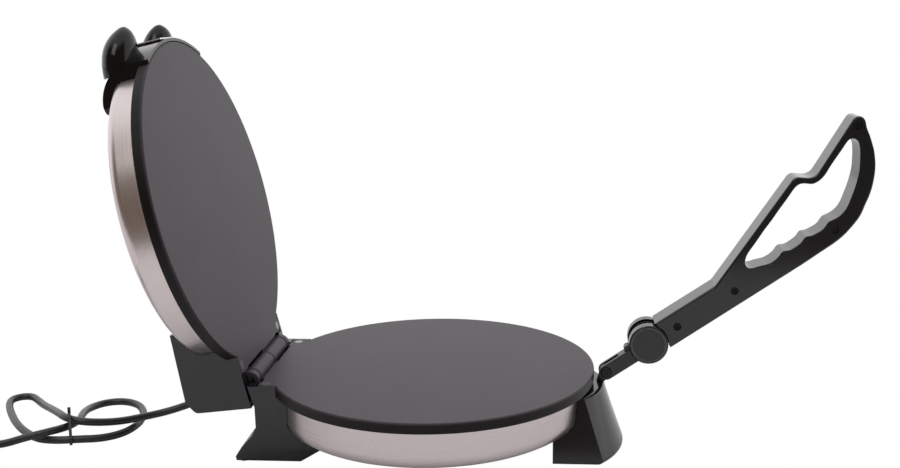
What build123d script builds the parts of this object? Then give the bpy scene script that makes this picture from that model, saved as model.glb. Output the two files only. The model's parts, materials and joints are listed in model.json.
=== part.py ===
from build123d import *
from math import acos, atan2, cos, degrees, hypot, radians, sin, sqrt, tan
import os

# Electric roti maker: two hinged ten-inch cooking plates in drawn steel shells, pressed
# together by a hand lever whose two rollers climb a steel track on the lid's front cap.
#
# All lengths are millimetres and all angles degrees. The sizes below are measured in the
# plate frame: x = y = 0 on the plates' axis, z = 0 on the lower cooking face, +X towards
# the lever, +Z up. Lid pieces are drawn with the lid shut and then swung open, and lever
# pieces are drawn along the arm and then raised to its rest. At the end every piece is
# shifted so that the part's origin is the bottom centre of its box, without the cord.

# ---- cooking plates (both are the same casting, the upper one turned over)
PLATE_D = 254.0             # ten-inch plates
PLATE_EDGE = 7.7            # height of the rim band
PLATE_WEB = 5.0             # metal under the cooking face
PLATE_ROUND = 1.2           # rounding round the cooking face
PLATE_GAP = 1.0             # between the two cooking faces, lid shut
RIM_LAND = 8.5              # width of the ring that the shell seats on
TAB_HALF_W = 57.0           # hinge tab, half width along Y
TAB_REACH = 0.3             # the tab's rear edge beyond the plate's
TAB_ROUND = 4.0

# ---- drawn steel shells
RIM_STEP = 7.0              # from the plate's edge in to the shell's wall
SHELL_DEPTH = 30.7
LID_DEPTH = 23.6            # the lid's shell is the shallower one
SHELL_T = 0.8
SHELL_CORNER = 10.0
LID_CORNER = 8.0

# ---- lid hinge
HINGE_REACH = 8.0           # from the plate's edge out to the hinge axis
KNUCKLE_D = 14.0
KNUCKLE_LONG = 39.6         # outer end of the long knuckle, from the middle
KNUCKLE_RING = (41.0, 48.0)  # the short ring knuckle on the other side
KNUCKLE_GAP = 0.4           # half of the gap at the middle seam
KNUCKLE_EDGE = 0.6          # bevel round the knuckles' ends
KNUCKLE_SLOT = 2.8          # free slot between a tab and the other casting's knuckles
HINGE_PIN_D = 5.0
LID_OPEN = 104.2            # the photographed lid leans back by 14.2 degrees
STOP_GAP = 0.3              # between the lid block and the foot, lid open
BRACKET_SPLIT = 0.5         # the lid block's underside above the hinge axis
KNUCKLE_ROOM = 1.5          # radial room round the knuckles in foot and block
BLOCK_REACH = 17.8          # from the hinge axis to the block's rear edge, along its bottom
# the block's outer line, x from the hinge axis and z from the lid shell's back
BLOCK_LINE = ((50.6, 13.1), (-2.0, 16.7), (-12.2, 10.7))
BLOCK_FOOT = 35.0           # inner end of the block's underside, from the hinge axis
BLOCK_TIP = 5.4             # thickness of the line's inner end
BLOCK_POCKET = 3.0          # depth of the pockets for its screws' heads

# ---- feet
FACE_HEIGHT = 61.5          # lower cooking face above the surface it stands on
PLATE_X = -48.8             # the plates' axis in the part's own frame
PAD_PROUD = 1.0             # rubber pads below the feet
PAD_D = 8.5
PAD_SUNK = 2.0
SEAT_GAP = 0.3              # between a moulding and the shell or plate it hugs
REAR_FOOT_HALF_W = 60.0
SKIRT_Z = 13.0              # where the skirts turn inwards, above the surface
SKIRT_IN = 5.5
# the rear foot's rear line, x from the hinge axis and height above the surface
FOOT_LINE = ((-10.4, 5.0), (-4.5, 14.0), (3.5, 22.5), (6.8, 29.5), (6.4, 45.5))
FOOT_HEEL = -10.4           # its lowest point
FOOT_TOP = (1.4, 35.0)      # the foot's top edge, from the hinge axis
FOOT_TOE = 39.0             # where the toe meets the surface
TOE_SLOPE = 1.45
FOOT_HOLLOW = (11.0, 28.0)  # the hollows in its underside, from the hinge axis
HOLLOW_Y = (8.0, 46.0)
HOLLOW_TOP = -14.0
REAR_PAD_AT = (-5.3, 49.5)  # x from the hinge axis, and y
FRONT_FOOT_TOP = -12.0
FRONT_FOOT_HALF_W = (39.0, 50.0)    # at its top and at its bottom
# from the pivot: the nose at its top, middle and bottom, then the ends of its curve
FRONT_FOOT_NOSE = (-1.7, 5.7, 14.9)
FRONT_FOOT_SIDE = (-18.0, -11.0, -2.5)
FRONT_FOOT_BACK = -41.5
FRONT_PAD_AT = (-12.5, 37.5)    # x from the pivot, and y
FRONT_HOLLOW = (-24.5, -6.5)    # the hollows in its underside, from the pivot
FRONT_HOLLOW_Y = (7.0, 30.0)
FRONT_HOLLOW_TOP = -30.0

# ---- screws
SCREW_D = 4.0
SCREW_HEAD_D = 7.2
SCREW_HEAD_H = 2.4
SCREW_ROOM = 0.2            # radial room round a screw's shank
HEAD_ROOM = 0.4             # radial room round its head
BOSS_D = 9.0
REAR_SCREW_AT = (19.5, 25.0)    # x in from the shell's wall, and y
FRONT_SCREW_AT = (20.0, 24.0)
TAB_SCREW_AT = (6.2, 52.0)      # x in from the plate's edge, and y
TAB_HEAD_D = 6.6            # countersunk
SCREW_GRIP = 14.0           # thread length in the boss

# ---- front cap of the lid, with two horns and the roller track between them
CAP_WALL = 2.4              # its wall round the plate's rim
CAP_HALF_W = 58.0
CAP_BACK = 10.7             # its back above the lid shell's
CAP_SHOULDER_Z = 14.0
CAP_CROWN = (5.2, 32.5, 21.7)   # crown: x in from the wall and z midway, then x at its top
CAP_TAIL = 45.7             # the tail's end, in from the cap's wall
CAP_TAIL_ROUND = 6.0
CAP_FLOOR = 17.0            # the cap's underside behind the shell, below its back
CAP_BOTTOM = PLATE_GAP      # flush with the upper cooking face
NOTCH_HALF_W = 17.0
TRACK_T = 1.0
TRACK_BOTTOM = 3.0
TRACK_BEND_Z = 28.5         # where the upright part of the track ends
TRACK_SLOPE = 48.0          # slope of the part above, from level
# x from the cap's wall, y and z of each section's middle, then half height and half width
HORN_SECTIONS = (
    (-19.7, 38.0, 28.9, 13.9, 19.0),
    (-9.7, 38.4, 28.2, 13.1, 18.4),
    (-0.7, 38.6, 26.3, 12.2, 15.6),
    (6.8, 38.0, 24.0, 9.7, 11.4),
    (11.5, 37.0, 22.2, 5.9, 7.0),
    (14.1, 36.4, 21.0, 2.0, 2.6),
)

# ---- hand lever
PIVOT_REACH = 6.8           # from the cap's wall out to the pivot
PIVOT_Z = -3.65
LEVER_REST = 34.0           # the photographed arm's rise from level
ARM_H = 11.5
ARM_T = 10.4
FORK_GAP = 5.2              # slot in the arm's end
FORK_DEPTH = 15.0
LUG_T = 4.6
PIVOT_PIN_D = 6.0
RUN = 0.05                  # radial clearance of a running fit
AXLE_U = 41.0               # roller axle, along the arm from the pivot
AXLE_V = 3.5                # and above the arm's axis
AXLE_D = 6.0
ROLLER_D = 30.4
ROLLER_IN_Y = 5.5
ROLLER_OUT_Y = 14.3
ROLLER_RIM = 2.2
ROLLER_DISH = 0.9
ROLLER_GAP = 0.3            # between rollers and track at the end of the lever's travel
HANDLE_T = 24.0
HANDLE_START_U = 53.8
HANDLE_V = (-8.2, 14.5)     # lower and upper edge of the handle's straight part
HANDLE_BACK = (
    (170.0, -7.5), (190.0, -6.9), (200.0, -6.6), (210.0, -5.4), (220.0, -2.6), (230.0, 1.7),
    (235.3, 5.5), (241.1, 9.5), (246.0, 13.5), (250.0, 17.5), (253.5, 21.5), (256.5, 25.5),
    (259.0, 29.5), (261.0, 33.5), (262.8, 37.5), (264.1, 41.5), (265.2, 45.5), (266.2, 49.5),
    (266.9, 53.5), (267.9, 57.0), (269.0, 60.0), (269.1, 62.6), (268.0, 65.0), (265.7, 66.5),
    (262.8, 66.6), (260.0, 65.4))
# the upper edge from there back to the arm: each corner and its radius
HANDLE_TOP = ((215.1, 44.05, 9.0), (203.5, 53.3, 6.0))
HANDLE_KNEE = (108.5, 5.0)  # where it meets the straight part, and the radius there
# the finger hole: four finger valleys along the grip, then back over the top
FINGER_HOLE = (
    (136.6, 15.0), (137.4, 12.6), (139.6, 11.0), (142.5, 10.1), (146.0, 9.1), (150.0, 7.6),
    (154.0, 6.9), (158.0, 7.1), (162.0, 8.1), (165.8, 9.4), (170.0, 7.7), (174.0, 7.2),
    (178.0, 7.4), (182.0, 8.1), (185.8, 9.6), (190.0, 8.1), (194.0, 7.6), (198.0, 7.4),
    (202.0, 8.2), (206.5, 10.0), (210.0, 9.7), (214.0, 9.4), (218.0, 9.9), (222.7, 11.6),
    (228.3, 15.4), (233.2, 19.1), (241.4, 26.3), (246.0, 31.3), (249.9, 36.8), (253.3, 42.2),
    (255.7, 47.2), (256.3, 50.8), (255.0, 53.6), (252.0, 54.9), (248.5, 54.0), (244.0, 51.9),
    (236.0, 48.4), (228.0, 44.7), (222.5, 42.0), (218.8, 41.0), (214.9, 40.7), (211.2, 41.6),
    (208.4, 43.7), (205.6, 45.7), (202.4, 46.6), (198.7, 46.0), (196.0, 44.9), (188.0, 41.4),
    (180.0, 38.2), (172.0, 34.7), (164.0, 31.6), (156.0, 28.1), (148.0, 24.7), (142.0, 22.0),
    (138.4, 19.0))
TANG_T = 6.0
TANG_END_U = 128.0
HANDLE_SCREW_UV = ((67.2, 3.3), (119.0, 3.3), (207.0, 2.3), (262.5, 60.7))
HANDLE_ROUND = 1.4
HOLE_ROUND = 0.6
ROLLER_ROOM = 0.6           # between the rollers and the handle's end

# ---- heating
ELEMENT_D = 6.5
ELEMENT_RING_IN = 49.0      # the heater's ring, in from the plate's edge
ELEMENT_GAP_DEG = 36.0
ELEMENT_ROOM = 0.15
COLD_END = 11.0
RIDGE_W = 12.0
RIDGE_H = 2.6
SHIELD_HOLE_R = 34.0
SHIELD_IN = 26.0            # the reflector's edge, in from the shell's wall
SHIELD_T = 0.6
POST_R = 50.0
POST_D = 7.0
SHIELD_SCREW_D = 3.0
SHIELD_HEAD = (5.6, 1.8)    # diameter and height of its screws' heads
THERMOSTAT_D = 25.0
FUSE_D = 4.2
FUSE_X = -27.0
TERMINAL_SIZE = (32.0, 19.0, 15.0)
TERMINAL_X = -52.0
TERMINAL_ROOM = 3.0         # between the terminal block and the reflector over it

# ---- lamps on the cap
LAMP_D = 7.0
LAMP_AT = (34.5, 13.0)      # x in from the cap's wall, and y
LAMP_PROUD = 1.4

# ---- mains cord
CORD_D = 6.0
EXIT_Y = 20.0               # where it leaves the rear foot
EXIT_Z = -30.5
RELIEF_SEAT = 7.6           # the flange's seat in the foot's rear wall, from the hinge axis
RELIEF_LENGTH = 24.0
RELIEF_NECK_R = 4.6
RELIEF_FLANGE_R = 5.8
RELIEF_FLANGE_T = 1.8
RELIEF_PAST = 0.6           # how far its neck reaches past the shell's rearmost line
FLOOR = -FACE_HEIGHT
LIE = FLOOR + CORD_D / 2    # the cord's axis where it lies on the surface
# The free cord in its wire tie: out of the strain relief, over the right loop, round the
# left loop, back along the surface, round the right loop and away to the coil.
CORD_BENDS = (
    (-169, EXIT_Y, EXIT_Z),
    (-187.5, 20.3, -37), (-206, 19, -44.8), (-223.5, 15.5, -50), (-240, 7.5, -51.6),
    (-254, -3.5, -51.3), (-266.5, -14.2, -48.5), (-280.8, -20.8, -45.4), (-295, -16, -44.2),
    (-306.5, -1.5, -46.3), (-325, 23.5, -52.5), (-342, 45, -57.5), (-353, 58, LIE),
    (-361.2, 66.4, LIE), (-368.6, 67.6, LIE), (-374.9, 63.6, LIE), (-377, 56.4, LIE),
    (-371.6, 43.2, LIE), (-360, 24.4, LIE), (-345.5, 4, LIE), (-329.5, -13.2, LIE),
    (-314, -25.6, LIE), (-297, -31, -57.3), (-280, -28.2, -57.1), (-263, -22.2, LIE),
    (-250, -11, LIE), (-245.3, 7.5, LIE), (-248, 28, LIE), (-256, 45, LIE),
    (-266.5, 55.5, LIE), (-279.8, 59.8, LIE), (-292.6, 55.2, LIE), (-299.6, 43.2, -58.1),
    (-298.6, 28, -55.9), (-294, 12.5, -53.1), (-289.2, -3.5, -51.4), (-292.4, -19, -51),
    (-304.5, -30.3, -51.1), (-320, -35.5, -53.9), (-336, -38, LIE), (-353, -41.2, LIE),
    (-370, -46, LIE))
TIE_AT = (-290.5, -18.0)
TIE_HEADING = 205.0         # the direction that the tie's loop faces
TIE_CORNERS = ((-4.4, -44.3), (2.8, -44.3), (12.9, -57.1), (-5.6, -51.2))
TIE_W = 2.2
TIE_T = 0.8
TIE_GAP = 0.45
COIL_R = 36.0               # radius of the coil's first turn
COIL_PITCH = 8.0            # change of radius in one turn
COIL_LAYER = 6.8            # height of the second layer over the first
COIL_QUARTERS = (3, 2, 4)   # quarter turns inwards, up a layer, and outwards

# ---- three-pin plug, lying on the surface
PLUG_LENGTH = 34.0
PLUG_HALF_W = 19.0
PLUG_TOP_R = 9.5
PLUG_CORNER = 6.0
PLUG_NECK_R = 6.2
PLUG_SLEEVE = 26.0
PIN_SIDE = (5.1, 14.9)      # diameter and length of the two small pins
PIN_EARTH = (7.1, 20.6)
PIN_SPACING = 19.05
PIN_EARTH_RISE = 22.2
PIN_SEAT = 9.0              # length of each pin inside the plug
PLUG_PIN_Z = 9.5            # the small pins above the surface

# ---- derived places
PLATE_R = PLATE_D / 2
SHELL_R = PLATE_R - RIM_STEP
HINGE_X = -(PLATE_R + HINGE_REACH)
HINGE_Z = PLATE_GAP / 2
TAB_BACK_X = -(PLATE_R + TAB_REACH)
SHELL_FLOOR = -PLATE_EDGE - SHELL_DEPTH
LID_TOP = PLATE_GAP + PLATE_EDGE + LID_DEPTH
FOOT_BOTTOM = -FACE_HEIGHT + PAD_PROUD
CAP_R = PLATE_R + SEAT_GAP + CAP_WALL
CAP_TOP = LID_TOP + CAP_BACK
TRACK_X = CAP_R + TRACK_T
PIVOT_X = CAP_R + PIVOT_REACH
REAR_SCREW_XY = (-(SHELL_R - REAR_SCREW_AT[0]), REAR_SCREW_AT[1])
FRONT_SCREW_XY = (SHELL_R - FRONT_SCREW_AT[0], FRONT_SCREW_AT[1])
TAB_SCREW_XY = (-(PLATE_R - TAB_SCREW_AT[0]), TAB_SCREW_AT[1])
REAR_PAD_XY = (HINGE_X + REAR_PAD_AT[0], REAR_PAD_AT[1])
FRONT_PAD_XY = (PIVOT_X + FRONT_PAD_AT[0], FRONT_PAD_AT[1])
LAMP_XY = (CAP_R - LAMP_AT[0], LAMP_AT[1])
ELEMENT_RING_R = PLATE_R - ELEMENT_RING_IN
# the posts hold the reflector clear of the terminal block
POST_LENGTH = (PLATE_EDGE + SHELL_DEPTH - SHELL_T - TERMINAL_SIZE[2] - TERMINAL_ROOM
               - SHIELD_T - PLATE_WEB)
SHIELD_R = SHELL_R - SHIELD_IN
AXLE_REACH = hypot(AXLE_U, AXLE_V)
AXLE_RISE = degrees(atan2(AXLE_V, AXLE_U))
RELIEF_SEAT_X = HINGE_X + RELIEF_SEAT
CORD_ROUTE = ((RELIEF_SEAT_X - RELIEF_LENGTH, EXIT_Y, EXIT_Z),) + CORD_BENDS


def side_face(*points):
    """A closed face in the XZ plane through (x, z) points."""
    return Plane.XZ * make_face(Polyline(*points, close=True))


def side_prism(half_width, *points):
    """A prism along Y, its outline given as (x, z) points."""
    return extrude(side_face(*points), half_width, both=True)


def block(x, y, z):
    """A box between the low and high values of x, y and z."""
    size = Box(x[1] - x[0], y[1] - y[0], z[1] - z[0])
    return Pos((x[0] + x[1]) / 2, (y[0] + y[1]) / 2, (z[0] + z[1]) / 2) * size


def upright(x, y, radius, low, high):
    """A cylinder along Z."""
    return Pos(x, y, (low + high) / 2) * Cylinder(radius, high - low)


def crosswise(x, z, radius, low, high):
    """A cylinder along Y."""
    return Pos(x, (low + high) / 2, z) * Rot(90, 0, 0) * Cylinder(radius, high - low)


def both_sides(x, y):
    """The two places of a pair that lies at the same x, at +y and -y."""
    return ((x, -y), (x, y))


def group(*pieces):
    """Separate solids of one kind, kept together in one node."""
    return Compound(children=[solid for piece in pieces for solid in piece.solids()])


def turned_over(piece):
    """The lower plate's piece as it sits on the upper plate, lid shut."""
    return Pos(0, 0, PLATE_GAP) * Rot(180, 0, 0) * piece


def swung_open(piece):
    """A piece drawn with the lid shut, moved to the lid's rest."""
    to_hinge = Pos(HINGE_X, 0, HINGE_Z)
    return to_hinge * Rot(0, -LID_OPEN, 0) * Pos(-HINGE_X, 0, -HINGE_Z) * piece


def on_lever(piece):
    """A piece drawn along the arm, pivot at the origin, moved to the lever's rest."""
    return Pos(PIVOT_X, 0, PIVOT_Z) * Rot(0, -LEVER_REST, 0) * piece


# ---------------------------------------------------------------- plates and shells
def screw_places():
    return both_sides(*REAR_SCREW_XY) + both_sides(*FRONT_SCREW_XY)


def shield_posts():
    return [(POST_R * cos(radians(a)), POST_R * sin(radians(a))) for a in (30, 150, 270)]


def element_body(radius):
    """The heater's bent tube or, with a larger radius, the groove it lies in."""
    z = element_z()
    start = 180 + ELEMENT_GAP_DEG / 2
    sweep_deg = 360 - ELEMENT_GAP_DEG
    ring = Torus(ELEMENT_RING_R, radius)
    keep = CenterArc((0, 0), ELEMENT_RING_R + 2 * radius, start, sweep_deg)
    wedge = make_face(Curve() + [Line((0, 0), keep @ 0), keep, Line(keep @ 1, (0, 0))])
    ring &= extrude(wedge, 2 * radius, both=True)
    ring = Pos(0, 0, z) * ring
    for angle in (start, start + sweep_deg):
        x = ELEMENT_RING_R * cos(radians(angle))
        y = ELEMENT_RING_R * sin(radians(angle))
        ring += Pos(x, y, z) * Sphere(radius)
        ring += upright(x, y, radius, z - COLD_END, z)
    return ring


def element_z():
    return -PLATE_WEB - RIDGE_H + ELEMENT_D / 2 - 0.4


def plate_casting(depth):
    """A cooking plate, face up: rim, heater ridge, screw bosses and half of the hinge.

    Its bosses reach the floor of a shell that is `depth` deep."""
    bottom = -PLATE_EDGE
    disc = upright(0, 0, PLATE_R, bottom, 0)
    tab_front = -sqrt(PLATE_R ** 2 - TAB_HALF_W ** 2) + 3
    disc += block((TAB_BACK_X, tab_front), (-TAB_HALF_W, TAB_HALF_W), (bottom, 0))
    disc = fillet(disc.edges().filter_by(Axis.Z).group_by(Axis.X)[0], TAB_ROUND)
    disc = fillet(disc.edges().group_by(Axis.Z)[-1], PLATE_ROUND)
    plate = disc - upright(0, 0, PLATE_R - RIM_LAND, bottom, -PLATE_WEB)
    half_ridge = RIDGE_W / 2
    ridge = upright(0, 0, ELEMENT_RING_R + half_ridge, -PLATE_WEB - RIDGE_H, -PLATE_WEB)
    ridge -= upright(0, 0, ELEMENT_RING_R - half_ridge, -PLATE_WEB - RIDGE_H, -PLATE_WEB)
    plate += ridge
    plate -= element_body(ELEMENT_D / 2 + ELEMENT_ROOM)
    tip = bottom - depth + SHELL_T
    for x, y in screw_places():
        plate += upright(x, y, BOSS_D / 2, tip, -PLATE_WEB)
        plate -= upright(x, y, SCREW_D / 2 + RUN, tip, tip + SCREW_GRIP + 1)
    for x, y in shield_posts():
        plate += upright(x, y, POST_D / 2, -PLATE_WEB - POST_LENGTH, -PLATE_WEB)
        hole = SHIELD_SCREW_D / 2 + RUN
        plate -= upright(x, y, hole, -PLATE_WEB - POST_LENGTH, -PLATE_WEB - 5)
    for x, y in both_sides(*TAB_SCREW_XY):
        plate -= upright(x, y, SCREW_D / 2 + SCREW_ROOM, bottom, 0)
        plate -= countersink(x, y, RUN)
    # free slots beside the other casting's knuckles
    slot_x = (TAB_BACK_X - 1, HINGE_X + KNUCKLE_D / 2 + KNUCKLE_SLOT)
    ends = (-KNUCKLE_GAP, KNUCKLE_RING[0]), (-KNUCKLE_RING[1] - 0.6, -KNUCKLE_LONG)
    for low, high in ends:
        plate -= block(slot_x, (low, high), (bottom, 0))
    for low, high in ((-KNUCKLE_LONG, -KNUCKLE_GAP), KNUCKLE_RING):
        barrel = crosswise(HINGE_X, HINGE_Z, KNUCKLE_D / 2, low, high)
        barrel = chamfer(barrel.edges().filter_by(GeomType.CIRCLE), KNUCKLE_EDGE)
        arm = block((HINGE_X, TAB_BACK_X + 1), (low, high), (HINGE_Z - KNUCKLE_D / 2, -1.0))
        plate += barrel + arm
    reach = KNUCKLE_RING[1] + 1
    plate -= crosswise(HINGE_X, HINGE_Z, HINGE_PIN_D / 2 + RUN, -reach, reach)
    return plate


def drawn_shell(depth, corner):
    """The thin steel shell under the lower plate, open at its top."""
    top = -PLATE_EDGE
    floor = top - depth
    outer = upright(0, 0, SHELL_R, floor, top)
    outer = fillet(outer.edges().group_by(Axis.Z)[0], corner)
    inner = upright(0, 0, SHELL_R - SHELL_T, floor + SHELL_T, top)
    inner = fillet(inner.edges().group_by(Axis.Z)[0], corner - SHELL_T)
    shell = outer - inner
    for x, y in screw_places():
        shell -= upright(x, y, SCREW_D / 2 + SCREW_ROOM, floor, floor + SHELL_T)
    return shell


def shell_room(depth, corner):
    """The space of plate rim and shell, grown by the seat gap, that mouldings hug."""
    radius = SHELL_R + SEAT_GAP
    room = upright(0, 0, radius, -PLATE_EDGE - depth - SEAT_GAP, 0)
    room = fillet(room.edges().group_by(Axis.Z)[0], corner + SEAT_GAP)
    return room + upright(0, 0, PLATE_R + SEAT_GAP, -PLATE_EDGE - SEAT_GAP, 0)


def tab_room():
    """The space of the hinge tab and knuckles, with room to turn."""
    half_w = TAB_HALF_W + SEAT_GAP
    front = -sqrt(PLATE_R ** 2 - TAB_HALF_W ** 2) + 3
    room = block((TAB_BACK_X - SEAT_GAP, front), (-half_w, half_w), (-PLATE_EDGE - SEAT_GAP, 0))
    reach = KNUCKLE_RING[1] + 2.6
    radius = KNUCKLE_D / 2 + KNUCKLE_ROOM
    room += crosswise(HINGE_X, HINGE_Z, radius, -reach, reach)
    # the web between tab and knuckles
    room += block((HINGE_X, TAB_BACK_X + 1), (-reach, reach), (-PLATE_EDGE - SEAT_GAP, 0))
    return room


def heating_element():
    """The bent heater with the two thin terminal pins on its cold ends."""
    element = element_body(ELEMENT_D / 2)
    for angle in (180 + ELEMENT_GAP_DEG / 2, 180 - ELEMENT_GAP_DEG / 2):
        x = ELEMENT_RING_R * cos(radians(angle))
        y = ELEMENT_RING_R * sin(radians(angle))
        low = element_z() - COLD_END
        element += upright(x, y, 1.4, low - 6, low)
    return element


def heat_shield():
    """A thin reflector ring on the three cast posts."""
    top = -PLATE_WEB - POST_LENGTH
    shield = upright(0, 0, SHIELD_R, top - SHIELD_T, top)
    shield -= upright(0, 0, SHIELD_HOLE_R, top - SHIELD_T, top)
    for x, y in shield_posts():
        shield -= upright(x, y, SHIELD_SCREW_D / 2 + SCREW_ROOM, top - SHIELD_T, top)
    for angle in (180 + ELEMENT_GAP_DEG / 2, 180 - ELEMENT_GAP_DEG / 2):
        x = ELEMENT_RING_R * cos(radians(angle))
        y = ELEMENT_RING_R * sin(radians(angle))
        shield -= upright(x, y, ELEMENT_D / 2 + 2, top - SHIELD_T, top)
    return shield


def shield_screws():
    top = -PLATE_WEB - POST_LENGTH
    seat = top - SHIELD_T
    diameter, height = SHIELD_HEAD
    screws = []
    for x, y in shield_posts():
        head = upright(x, y, diameter / 2, seat - height, seat)
        screws.append(head + upright(x, y, SHIELD_SCREW_D / 2, seat, top + 7))
    return group(*screws)


def pan_screw(x, y, seat, grip, down=True):
    """A pan-head screw. Its head lies on `seat`, and its shank runs down or up from it."""
    way = -1 if down else 1
    ends = sorted((seat, seat + way * grip))
    tops = sorted((seat, seat - way * SCREW_HEAD_H))
    shank = upright(x, y, SCREW_D / 2, *ends)
    head = upright(x, y, SCREW_HEAD_D / 2, *tops)
    outer = head.edges().group_by(Axis.Z)[-1 if down else 0]
    return fillet(outer, SCREW_HEAD_H * 0.45) + shank


def countersink(x, y, room):
    """A tab screw's conical head, flush with the cooking face."""
    depth = (TAB_HEAD_D - SCREW_D) / 2
    cone = Cone(SCREW_D / 2 + room, TAB_HEAD_D / 2 + room, depth)
    return Pos(x, y, -depth / 2) * cone


def tab_screw(x, y):
    """A countersunk screw through a hinge tab into the moulding behind it."""
    return countersink(x, y, 0) + upright(x, y, SCREW_D / 2, -PLATE_EDGE - 13, -0.5)


# ---------------------------------------------------------------- rear foot and lid block
def rear_foot():
    """The moulded rear foot: it carries the hinge tab and stops the open lid."""
    toe = FOOT_TOE + (SHELL_FLOOR - FOOT_BOTTOM) * TOE_SLOPE
    outline = [(HINGE_X + FOOT_TOP[0], 0), (HINGE_X + FOOT_TOP[1], 0),
               (HINGE_X + toe, SHELL_FLOOR), (HINGE_X + FOOT_TOE, FOOT_BOTTOM),
               (HINGE_X + FOOT_HEEL, FOOT_BOTTOM)]
    outline += [(HINGE_X + x, height - FACE_HEIGHT) for x, height in FOOT_LINE]
    foot = side_prism(REAR_FOOT_HALF_W, *outline)
    # softened rear corners and lower side edges
    foot = fillet(foot.edges().filter_by(Axis.Z).group_by(Axis.X)[0], 2.4)
    foot -= shell_room(SHELL_DEPTH, SHELL_CORNER)
    foot -= tab_room()
    # the open lid's block rests against this cut
    stop = block((HINGE_X - BLOCK_REACH, HINGE_X + 80), (-80, 80), (0, 90))
    foot -= swung_open(Pos(0, 0, HINGE_Z + BRACKET_SPLIT - STOP_GAP) * stop)
    # side skirts drawn in towards the floor
    for side in (-1, 1):
        y = side * REAR_FOOT_HALF_W
        top = SKIRT_Z - FACE_HEIGHT
        skirt = Polyline((y + side, top), (y, top), (y - side * SKIRT_IN, FOOT_BOTTOM),
                         (y + side, FOOT_BOTTOM), close=True)
        foot -= Pos(HINGE_X - 35, 0, 0) * extrude(Plane.YZ * make_face(skirt), 140)
    # hollow underside, with walls and one rib
    hollow_x = [HINGE_X + x for x in FOOT_HOLLOW]
    for low, high in ((-HOLLOW_Y[1], -HOLLOW_Y[0]), HOLLOW_Y):
        foot -= block(hollow_x, (low, high), (FOOT_BOTTOM, HOLLOW_TOP))
    for x, y in both_sides(*REAR_SCREW_XY):
        foot -= upright(x, y, SCREW_D / 2 + SCREW_ROOM, FOOT_BOTTOM, SHELL_FLOOR)
        foot -= upright(x, y, SCREW_HEAD_D / 2 + HEAD_ROOM, FOOT_BOTTOM, foot_screw_seat())
    for x, y in both_sides(*TAB_SCREW_XY):
        foot -= upright(x, y, SCREW_D / 2 + RUN, -PLATE_EDGE - 16, -PLATE_EDGE)
    for x, y in both_sides(*REAR_PAD_XY):
        foot -= upright(x, y, PAD_D / 2, FOOT_BOTTOM, FOOT_BOTTOM + PAD_SUNK)
    foot -= cord_hole()
    return foot


def foot_screw_seat():
    return SHELL_FLOOR - 5.0


def lid_block():
    """The moulded block behind the lid, drawn shut: it hides the hinge and meets the foot."""
    low = HINGE_Z + BRACKET_SPLIT
    line = [(HINGE_X + x, LID_TOP + z) for x, z in BLOCK_LINE]
    outline = line + [(HINGE_X - BLOCK_REACH, low), (HINGE_X + BLOCK_FOOT, low),
                      (line[0][0], line[0][1] - BLOCK_TIP)]
    body = side_prism(REAR_FOOT_HALF_W, *outline)
    body = fillet(body.edges().filter_by(Axis.Y).group_by(Axis.X)[1], 5)
    body = fillet(body.faces().group_by(Axis.Y)[0].edges().group_by(Axis.Z)[-1], 1.5)
    body = fillet(body.faces().group_by(Axis.Y)[-1].edges().group_by(Axis.Z)[-1], 1.5)
    body -= turned_over(shell_room(LID_DEPTH, LID_CORNER))
    body -= turned_over(tab_room())
    for x, y in both_sides(*REAR_SCREW_XY):
        body -= upright(x, y, SCREW_D / 2 + SCREW_ROOM, LID_TOP - 2, LID_TOP + 20)
        body -= upright(x, y, SCREW_HEAD_D / 2 + HEAD_ROOM, block_seat(), LID_TOP + 20)
    for x, y in both_sides(*TAB_SCREW_XY):
        bottom = PLATE_GAP + PLATE_EDGE
        body -= upright(x, y, SCREW_D / 2 + RUN, bottom, bottom + 16)
    return body


def hinge_pin():
    """The hinge pin with a groove for a clip at each end."""
    reach = KNUCKLE_RING[1] + 1.9
    pin = crosswise(HINGE_X, HINGE_Z, HINGE_PIN_D / 2, -reach, reach)
    pin = chamfer(pin.edges().filter_by(GeomType.CIRCLE), 0.5)
    for low in (KNUCKLE_RING[1] + 0.2, -KNUCKLE_RING[1] - 0.9):
        ring = crosswise(HINGE_X, HINGE_Z, HINGE_PIN_D, low, low + 0.7)
        pin -= ring - crosswise(HINGE_X, HINGE_Z, HINGE_PIN_D / 2 - 0.5, low, low + 0.7)
    return pin


def hinge_clips():
    clips = []
    for low in (KNUCKLE_RING[1] + 0.25, -KNUCKLE_RING[1] - 0.85):
        ring = crosswise(HINGE_X, HINGE_Z, HINGE_PIN_D / 2 + 1.5, low, low + 0.6)
        ring -= crosswise(HINGE_X, HINGE_Z, HINGE_PIN_D / 2 - 0.45, low, low + 0.6)
        mouth = block((HINGE_X - 1.6, HINGE_X + 1.6), (low, low + 0.6), (HINGE_Z, HINGE_Z + 9))
        clips.append(ring - mouth)
    return group(*clips)


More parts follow.
